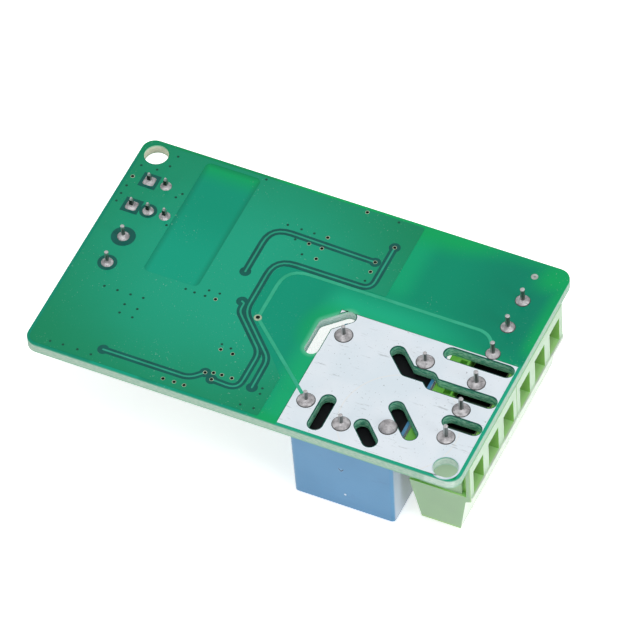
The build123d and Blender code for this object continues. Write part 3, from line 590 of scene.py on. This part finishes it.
def relay_material():
    """Blue moulded plastic with a fine grain, two marks in front, a painted sheen on its right side and black on its
    upward faces within the rims.
    """
    n = Nodes("relay_blue")
    along, across, up = n.on_board()
    facing = n.facing()
    base = n.mix(n.cloud(90.0, 2.0), colour(60, 131, 178), colour(76, 142, 188))
    streaks = n.ramp(n.noise(420.0, 3.0, 0.6, (1, 1, 3.5)), 0.62, 0.72)
    base = n.mix(n.times(streaks, 0.25), base, colour(60, 116, 164))

    def round_spot(place, radius):
        """Grows from 0 at a radius round a place on the front face to 1 in its middle."""
        return n.ramp(n.from_point(along, up, place), radius, radius * 0.55)

    front = n.ramp(facing[1], -0.6, -0.8)
    base = n.mix(n.times(round_spot((46.5, -8.6), 0.5), front), base, colour(98, 156, 198))
    aside = n.math("ABSOLUTE", n.minus(along, 46.56))
    stroke = n.math("ABSOLUTE", n.minus(n.minus(up, -8.8), n.times(aside, 1.1)))
    stroke = n.times(n.ramp(stroke, 0.2, 0.08), n.ramp(aside, 0.42, 0.32), front)
    base = n.mix(stroke, base, colour(22, 60, 98))
    base = n.mix(n.times(round_spot((46.95, -13.85), 0.22), front), base, colour(220, 226, 232))
    # Painted sheen on the right side, where light glances off it
    painted_sheen = n.times(n.ramp(facing[0], 0.8, 0.98), 0.66)
    base = n.mix(painted_sheen, base, colour(204, 210, 224))
    # Black on the upward faces, all but thin strips along the left and right rims, and duller there
    low, high = box_on_board("relay_case")
    inset = n.least(n.minus(along, low[0]), n.minus(high[0], along))
    black_upward_faces = n.most(n.ramp(inset, 0.42, 0.5), n.ramp(across, low[1] + 1.3, low[1] + 1.1))
    black_upward_faces = n.times(n.ramp(facing[2], 0.6, 0.8), black_upward_faces)
    base = n.mix(black_upward_faces, base, colour(6, 7, 11))
    n.bump(n.noise(2600.0, 2.0), 0.02 * MM, 0.5)
    return n.finish(Base_Color=base, Roughness=0.33, Specular_IOR_Level=n.ramp(black_upward_faces, 0.0, 1.0, 0.6, 0.12))


def terminal_material():
    """Green moulded plastic, a little see-through: pale with painted sheen outside, full green inside."""
    n = Nodes("terminal_green")
    along, across, up = n.on_board()
    facing = n.facing()
    low, high = box_on_board("front_terminal_housing")
    rear, right = low[0], high[0]
    far_end = box_on_board("back_terminal_housing")[1][1]
    ledge_height = -8.05
    cloud = n.cloud(120.0, 2.0)

    upwards = n.ramp(facing[2], 0.3, 0.6)
    inside = n.mix(cloud, colour(104, 180, 62), colour(120, 196, 80))
    # Painted light inside: paler towards the open mouths and on the mouths' floors
    inside = n.mix(n.ramp(along, right - 4.0, right - 2.0), inside, colour(146, 204, 104))
    mouth_floor = n.times(
        upwards, n.ramp(up, ledge_height + 0.2, ledge_height + 0.1), n.ramp(along, right - 4.5, right - 1.5, 0.3, 1.0),
    )
    inside = n.mix(mouth_floor, inside, colour(184, 232, 156))
    # Painted shade on the faces under the board
    under_board = n.times(
        upwards, n.ramp(up, -5.0, -4.5), n.times(n.ramp(along, 58.0, 58.3), n.ramp(along, 63.1, 62.9)),
    )
    inside = n.mix(under_board, inside, colour(14, 34, 12))

    # The end faces: paler with painted sheen, and a painted glow of light through the plastic along their lower and
    # right rims
    end_face = n.mix(cloud, colour(146, 180, 142), colour(156, 190, 150))
    rims = n.most(n.ramp(up, low[2] + 0.5, low[2] + 0.1), n.ramp(along, right - 0.5, right - 0.1))
    end_face = n.mix(n.times(rims, 0.6), end_face, colour(160, 206, 116))
    on_end = n.times(n.ramp(facing[1], -0.6, -0.9), n.ramp(across, low[1] + 0.5, low[1] + 0.3))
    on_far_end = n.times(n.ramp(facing[1], 0.6, 0.9), n.ramp(across, far_end - 1.5, far_end - 1.2))
    on_rear = n.times(n.ramp(facing[0], -0.3, -0.6, 0.0, 0.6), n.ramp(along, rear + 3.1, rear + 2.9))
    base = n.mix(n.most(on_end, on_far_end, on_rear), inside, end_face)

    # The wire face: paler with painted sheen and light, palest along its lower lip
    wire_face = n.mix(cloud, colour(168, 200, 166), colour(182, 210, 182))
    lip = n.ramp(up, ledge_height + 0.1, ledge_height - 0.05)
    wire_face = n.mix(lip, wire_face, colour(216, 228, 214))
    on_wire_face = n.times(n.ramp(facing[0], 0.3, 0.6), n.ramp(along, right - 2.4, right - 2.0))
    ledge = n.times(upwards, n.ramp(along, right - 0.3, right - 0.22))
    base = n.mix(n.most(on_wire_face, ledge), base, wire_face)

    n.bump(n.noise(2200.0, 2.0), 0.012 * MM, 0.5)
    return n.finish(
        Base_Color=base, Roughness=0.4, Subsurface_Weight=0.25, Subsurface_Scale=1.5 * MM,
        Subsurface_Radius=(0.6, 1.0, 0.4),
    )


MASK_OVER_COPPER = copper_material()
MASK_OVER_TRACK = mask("mask_over_track", colour(30, 152, 120), colour(44, 164, 132), 400.0)
MASK_OVER_POWER = mask("mask_over_power_track", colour(44, 170, 130), colour(56, 180, 142), 400.0)
# The clearances are darker, painted shade in the channels beside the copper
MASK_IN_GAP = mask("mask_in_clearance", colour(0, 84, 75), colour(0, 95, 84), 400.0)
VIA_MASK = mask("covered_via_mask", colour(4, 68, 52), colour(8, 84, 66), 900.0)
VIA_RING = plain("via_ring_tin", colour(146, 168, 140), colour(188, 204, 178), 0.4, metallic=0.6)
# Dark discs as painted shade in the open via holes
VIA_HOLE = plain("via_hole_dark", colour(4, 12, 8), colour(12, 22, 14), 0.8, Specular_IOR_Level=0.1)
TEST_PAD = plain("test_pad_tin", colour(150, 158, 154), colour(182, 188, 184), 0.45, metallic=0.5)
TEST_DIMPLE = plain("test_pad_dimple", colour(112, 124, 118), colour(136, 146, 140), 0.5, metallic=0.4)
PAD_EDGE = plain("pad_edge_shadow", colour(40, 46, 46), colour(70, 74, 72), 0.6)
SOLDER = solder_material()
POTTING = plain(
    "potting_black", colour(5, 6, 10), colour(12, 12, 18), 0.6, grain=1200.0, relief=0.03 * MM,
    Specular_IOR_Level=0.15,
)
PIN = pin_material("tinned_pin", 1.75, 1.95, colour(60, 67, 65), colour(204, 208, 208))
SHORT_PIN = pin_material("tinned_short_pin", 1.3, 1.45, colour(52, 62, 60), colour(204, 208, 208), -0.05, -0.6)
# The clamps are darkened as painted shade inside the housings
CLAMP_IN_PAINTED_SHADE = plain("clamp_zinc_painted_shade", colour(56, 58, 58), colour(84, 86, 86), 0.5, metallic=0.8)
CONTACT = pin_material("contact_plate", 2.2, 2.4, colour(72, 80, 78), colour(184, 188, 186))
SCREW = plain("zinc_screw", colour(150, 152, 156), colour(190, 192, 196), 0.35, metallic=1.0)
BLACK_PLASTIC = plain("header_black", colour(22, 22, 25), colour(34, 34, 38), 0.45)
SLEEVE = plain("sleeve_black", colour(20, 20, 28), colour(34, 34, 44), 0.3)
ALUMINIUM = plain("can_aluminium", colour(196, 198, 200), colour(222, 222, 224), 0.3, metallic=1.0)
RUBBER = plain("bung_rubber", colour(22, 22, 22), colour(36, 36, 36), 0.7)
RADIO_BOARD = plain("radio_laminate", colour(12, 18, 28), colour(20, 28, 40), 0.3)
SHIELD = plain("shield_metal", colour(176, 178, 172), colour(208, 208, 202), 0.32, metallic=1.0)
AERIAL = plain("aerial_gold", colour(190, 150, 70), colour(220, 182, 96), 0.35, metallic=1.0)
EPOXY = plain("epoxy_black", colour(24, 24, 24), colour(38, 38, 38), 0.55)
CHIP_BLACK = plain("chip_black", colour(18, 18, 20), colour(32, 32, 34), 0.35)
CHIP_TAN = plain("chip_tan", colour(150, 116, 84), colour(176, 140, 106), 0.45)
LAMP = plain("lamp_clear", colour(216, 214, 190), colour(234, 232, 214), 0.3)
TINNED = plain("tinned_lead", colour(168, 166, 168), colour(206, 204, 206), 0.35, metallic=0.9)
BARE_PAD = plain("tinned_pad", colour(180, 178, 180), colour(212, 210, 210), 0.35, metallic=0.9)


# The CAD's pieces
def paint(material, *names):
    """Gives CAD nodes a material."""
    for name in names:
        mesh = nodes[name].data
        mesh.materials.clear()
        mesh.materials.append(material)


paint(board_material(), "circuit_board")
paint(relay_material(), "relay_case")
paint(POTTING, "relay_potting")
paint(PIN, "relay_pins", "capacitor_leads")
paint(terminal_material(), "front_terminal_housing", "back_terminal_housing")
paint(CONTACT, *[f"terminal_contact_{n}" for n in range(1, 7)])
paint(CLAMP_IN_PAINTED_SHADE, *[f"wire_clamp_{n}" for n in range(1, 7)])
paint(SCREW, *[f"terminal_screw_{n}" for n in range(1, 7)])
paint(BLACK_PLASTIC, "jumper_header_strip", "serial_header_strip")
paint(SLEEVE, "capacitor_sleeve")
paint(ALUMINIUM, "capacitor_can")
paint(RUBBER, "capacitor_bung")
paint(RADIO_BOARD, "radio_board")
paint(SHIELD, "radio_shield")
paint(AERIAL, "radio_aerial")
paint(EPOXY, "regulator_body", "transistor_body", "diode_bodies", "optocoupler_body")
paint(CHIP_BLACK, "resistors")
paint(CHIP_TAN, "ceramic_capacitors")
paint(LAMP, "indicator_lights")
paint(TINNED, "regulator_leads", "transistor_leads", "diode_leads", "optocoupler_leads", "chip_caps")
paint(BARE_PAD, "component_side_pads", "radio_joints")

# The curves of these are made of small flat sides, which are shaded as one surface
for name in ("relay_case", "relay_pins", "capacitor_leads", "capacitor_can", "capacitor_sleeve"):
    nodes[name].data.shade_smooth()
    nodes[name].data.set_sharp_from_angle(angle=math.radians(50))


# Copper, tracks and vias on the solder side
pour_outline = rounded_path([place for place, _ in POUR], [radius for _, radius in POUR[1:-1]])[:-1]
pour_outline = [(p.x, p.y) for p in pour_outline]
window = box_outline(*WINDOW, WINDOW_CORNER)
plate("copper_area", [[pour_outline, window, disc(MOUNTING_HOLES[0], HOLE_MARGIN)]], COPPER, MASK_OVER_COPPER)
for i, (points, bends) in enumerate(SIGNAL_TRACKS):
    lift = 0.4 * STEP * i
    plate(f"track_clearance_{i}", [[ribbon(points, TRACK_CLEARANCE, bends)]], CLEARANCE_TOP + lift, MASK_IN_GAP)
    ends = [[disc(place, TRACK_END / 2)] for place in (points[0], points[-1])]
    plate(f"track_end_clearances_{i}", ends, CLEARANCE_TOP + 0.2 * STEP + lift, MASK_IN_GAP)
    plate(f"signal_track_{i}", [[ribbon(points, TRACK, bends)]], TRACK_TOP + lift, MASK_OVER_TRACK)
for i, points in enumerate(POWER_TRACKS):
    plate(f"power_track_{i}", [[ribbon(points, POWER_TRACK, POWER_BEND)]], COPPER + STEP * i, MASK_OVER_POWER)
dots("covered_vias", COVERED_VIAS, COVERED_VIA, 12, TRACK_TOP + 2 * STEP, VIA_MASK)
dots("via_rings", OPEN_VIAS, OPEN_VIA, 18, DOT_TOP, VIA_RING)
dots("via_holes", OPEN_VIAS, OPEN_VIA_HOLE, 14, DOT_TOP + 2 * STEP, VIA_HOLE)
power_ring = [disc(POWER_VIA, POWER_VIA_RING), disc(POWER_VIA, POWER_VIA_BORE)]
plate("power_via_ring", [power_ring], DOT_TOP, VIA_RING)
plate("power_via_wall", [[disc(POWER_VIA, POWER_VIA_WALL)]], TRACK_TOP + 3 * STEP, VIA_RING)
plate("power_via_hole", [[disc(POWER_VIA_HOLE_PLACE, POWER_VIA_HOLE)]], TRACK_TOP + 4 * STEP, VIA_HOLE)
plate("test_pad", [[disc(TEST_POINT, TEST_PAD_RADIUS)]], DOT_TOP, TEST_PAD)
plate("test_pad_dimple", [[disc(TEST_POINT, TEST_DIMPLE_RADIUS)]], DOT_TOP + 2 * STEP, TEST_DIMPLE)
half = SQUARE_PAD_CLEARANCE / 2
pad_clearances = [[box_outline(x - half, y - half, x + half, y + half)] for x, y in (JUMPER_PINS[0], SERIAL_PINS[0])]
pad_clearances.append([disc(SERIAL_PINS[1], SERIAL_PAD_CLEARANCE)])
pad_clearances += [[disc(place, radius)] for place, radius in zip(CAPACITOR_PINS, CAPACITOR_PAD_CLEARANCES)]
plate("pad_clearances", pad_clearances, CLEARANCE_TOP, MASK_IN_GAP)


def white_field():
    """White print over the mains side: the board's own face, gaps and all, cut to the field's outline."""
    bm = bmesh.new()
    bm.from_mesh(nodes["circuit_board"].data)
    bmesh.ops.remove_doubles(bm, verts=bm.verts, dist=1e-7)
    face_level = at(0, 0, -0.1).z
    others = [face for face in bm.faces if face.normal.z < 0.9 or face.calc_center_median().z < face_level]
    bmesh.ops.delete(bm, geom=others, context="FACES")
    left, front, right, back = FIELD
    cuts = [((left, 0), (-1, 0)), ((right, 0), (1, 0)), ((0, front), (0, -1)), ((0, back), (0, 1))]
    centre = (right - FIELD_CORNER, front + FIELD_CORNER)
    for i in range(1, FIELD_CORNER_CUTS):
        angle = -math.pi / 2 * i / FIELD_CORNER_CUTS
        outward = (math.cos(angle), math.sin(angle))
        cuts.append(((centre[0] + FIELD_CORNER * outward[0], centre[1] + FIELD_CORNER * outward[1]), outward))
    for place, outward in cuts:
        everything = bm.verts[:] + bm.edges[:] + bm.faces[:]
        bmesh.ops.bisect_plane(bm, geom=everything, plane_co=at(*place), plane_no=(*outward, 0), clear_outer=True)
    rim = bmesh.ops.inset_region(
        bm, faces=bm.faces[:], thickness=PRINT_GAP * MM, use_even_offset=True, use_boundary=True,
    )
    bmesh.ops.delete(bm, geom=rim["faces"], context="FACES")
    raised = bmesh.ops.extrude_face_region(bm, geom=bm.faces[:])["geom"]
    bmesh.ops.translate(bm, verts=[v for v in raised if isinstance(v, bmesh.types.BMVert)], vec=(0, 0, INK * MM))
    bmesh.ops.recalc_face_normals(bm, faces=bm.faces)
    board_piece("white_field", bm, ink_material())


white_field()
# A painted shadow round each pad, set a little to the front right
pad_edges = []
for places, radius, beyond in ((RELAY_PINS, 1.33, -0.05), (FRONT_PINS, 1.3, -0.05), (BACK_PINS, 1.07, -0.04)):
    pad_edges += [[disc((x + 0.03, y + beyond), radius)] for x, y in places]
plate("pad_edges", pad_edges, INK + 5 * STEP, PAD_EDGE)


# Header pins and solder
POST = 0.64
POST_BEVEL = 0.06
RINGS = 12
SPOKES = 36
SQUARE_REACH = 1.22  # how far a square pad's rounded corners lie beyond its sides
SOLDER_FOOT = 0.05
DOME_RISE = 2.1
LUMP_SCALE = 1.6
LUMP_SHARE = 0.16


def posts(name, places, node):
    """Square pins through the board, drawn in towards both ends."""
    low, high = box_on_board(node)
    floor, top = low[2], high[2]
    levels = [(floor, 0.34), (floor + 0.45, POST), (0.15, POST), (top - 0.35, 0.5), (top, 0.3)]
    bm = bmesh.new()
    for x, y in places:
        rings = []
        for up, side in levels:
            half = side / 2
            rings.append([bm.verts.new(at(*p, up)) for p in box_outline(x - half, y - half, x + half, y + half)])
        for lower, upper in zip(rings, rings[1:]):
            skin(bm, lower, upper)
        bm.faces.new(rings[0][::-1])
        bm.faces.new(rings[-1])
    upright_edges = [e for e in bm.edges if abs(e.verts[0].co.z - e.verts[1].co.z) > 0.1 * MM]
    bmesh.ops.bevel(bm, geom=upright_edges, offset=POST_BEVEL * MM, segments=2, affect="EDGES")
    return board_piece(name, bm, SHORT_PIN)


def solder(name, places, pad, pin, height, square=0, domed=()):
    """Solder on round pads, rising to the pins; the first few pads are square and domed ones have no pin."""
    bm = bmesh.new()
    for number, (x, y) in enumerate(places):
        lumps = Vector((x, y, 0)) * 3.1  # another part of the noise for each pad
        grid = []
        for i in range(RINGS + 1):
            t = i / RINGS
            ring = []
            for j in range(SPOKES):
                angle = 2 * math.pi * j / SPOKES
                c, s = math.cos(angle), math.sin(angle)
                edge = pad / 2
                if number < square:
                    edge *= min(1 / max(abs(c), abs(s)), SQUARE_REACH)
                if number in domed:
                    inner, rise = 0.02, DOME_RISE * math.sqrt(t * (2 - t))
                else:
                    inner, rise = pin / 2 + 0.03, 0.42 * (1 - (1 - t) ** 4) + 0.58 * t ** 5
                radius = edge + (inner - edge) * t
                lump = noise.noise(lumps + Vector((c * radius, s * radius, 0)) * LUMP_SCALE)
                lump *= math.sin(math.pi * min(t * 1.3, 1))
                up = SOLDER_FOOT + height * (rise + LUMP_SHARE * lump)
                ring.append(bm.verts.new(at(x + c * radius, y + s * radius, up)))
            grid.append(ring)
        base = [bm.verts.new((v.co.x, v.co.y, ORIGIN[2])) for v in grid[0]]
        grid.insert(0, base)
        for lower, upper in zip(grid, grid[1:]):
            skin(bm, lower, upper, smooth=True)
        bm.faces.new(base[::-1])
        bm.faces.new(grid[-1])
    return board_piece(name, bm, SOLDER)


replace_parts(posts("jumper_posts", JUMPER_PINS, "jumper_header_pins"), "jumper_header_pins")
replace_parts(posts("serial_posts", SERIAL_PINS, "serial_header_pins"), "serial_header_pins")
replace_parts(solder("relay_solder_mounds", RELAY_PINS, 2.44, 0.6, 0.34, domed=(BURIED_PIN,)), "relay_solder")
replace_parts(solder("front_terminal_mounds", FRONT_PINS, 2.38, 0.7, 0.34), "front_terminal_solder")
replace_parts(solder("back_terminal_mounds", BACK_PINS, 1.98, 0.7, 0.36), "back_terminal_solder")
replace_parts(solder("jumper_mounds", JUMPER_PINS, 1.65, 0.7, 0.45, square=1), "jumper_header_solder")
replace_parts(solder("serial_mounds", SERIAL_PINS, 1.65, 0.7, 0.45, square=1), "serial_header_solder")
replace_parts(solder("capacitor_mounds", CAPACITOR_PINS, 1.75, 0.6, 0.5), "capacitor_solder")


# Camera, as fitted to the photograph
AZIMUTH = math.radians(27.778)
ELEVATION = math.radians(50.199)
ROLL = math.radians(-4.015)
CAMERA_PLACE = (0.273837, -0.516605, 0.717892)
FOCAL_PIXELS = 6657.32
PHOTO_PIXELS = 620
SENSOR = 36.0

backward = Vector((
    math.sin(AZIMUTH) * math.cos(ELEVATION), -math.cos(AZIMUTH) * math.cos(ELEVATION), math.sin(ELEVATION)
))
level = Vector((math.cos(AZIMUTH), math.sin(AZIMUTH), 0))
upright = backward.cross(level)
camera_x = math.cos(ROLL) * level + math.sin(ROLL) * upright
camera_y = math.cos(ROLL) * upright - math.sin(ROLL) * level
camera_data = bpy.data.cameras.new("camera")
camera_data.sensor_width = SENSOR
camera_data.lens = FOCAL_PIXELS / PHOTO_PIXELS * SENSOR
camera_data.clip_start = 0.01
camera = bpy.data.objects.new("camera", camera_data)
camera.matrix_world = Matrix.Translation(CAMERA_PLACE) @ Matrix((camera_x, camera_y, backward)).transposed().to_4x4()
bpy.context.scene.collection.objects.link(camera)
bpy.context.scene.camera = camera


# Studio
AIM = (0, 0, 0.01)
WORLD_LIGHT = 0.45
FLOOR_GLOW = 0.65  # in the camera's view, where the lamps light the floor as well
FLOOR_REACH = 1.5


def softbox(name, place, size, power):
    data = bpy.data.lights.new(name, "AREA")
    data.shape = "DISK"
    data.size = size
    data.energy = power
    lamp = bpy.data.objects.new(name, data)
    lamp.location = place
    lamp.rotation_euler = (Vector(AIM) - Vector(place)).to_track_quat("-Z", "Y").to_euler()
    bpy.context.scene.collection.objects.link(lamp)


def strength(tree, lighting, in_view, reflected):
    """A strength for the light on the object, for the camera's view and for reflections and glass."""
    path = tree.nodes.new("ShaderNodeLightPath").outputs
    mirrored = arithmetic(tree, "MAXIMUM", path["Is Glossy Ray"], path["Is Transmission Ray"])
    seen = arithmetic(tree, "MULTIPLY_ADD", path["Is Camera Ray"], in_view - lighting, lighting)
    return arithmetic(tree, "MULTIPLY_ADD", mirrored, reflected - lighting, seen)


softbox("overhead_light", (0.12, -0.1, 0.8), 0.5, 2.35)
softbox("right_light", (0.65, -0.2, 0.2), 0.4, 1.6)
softbox("front_light", (-0.3, -0.7, 0.25), 0.4, 0.75)

world = bpy.data.worlds.new("studio")
bpy.context.scene.world = world
world.use_nodes = True
background = world.node_tree.nodes["Background"].inputs
background["Color"].default_value = (1, 1, 1, 1)
join(world.node_tree, strength(world.node_tree, WORLD_LIGHT, 1.0, 1.0), background["Strength"])

floor_mesh = bpy.data.meshes.new("floor")
floor_corners = box_outline(-FLOOR_REACH, -FLOOR_REACH, FLOOR_REACH, FLOOR_REACH)
floor_mesh.from_pydata([(x, y, 0) for x, y in floor_corners], [], [(0, 1, 2, 3)])
floor = bpy.data.objects.new("floor", floor_mesh)
bpy.context.scene.collection.objects.link(floor)
white_floor = plain("floor_white", colour(250, 250, 250), colour(253, 253, 253), 0.8, grain=3.0)
floor_tree = white_floor.node_tree
floor_shader = floor_tree.nodes["Principled BSDF"].inputs
floor_shader["Emission Color"].default_value = (1, 1, 1, 1)
join(floor_tree, strength(floor_tree, 0.0, FLOOR_GLOW, 1.0), floor_shader["Emission Strength"])
floor_mesh.materials.append(white_floor)

bpy.context.scene.view_settings.view_transform = "Standard"
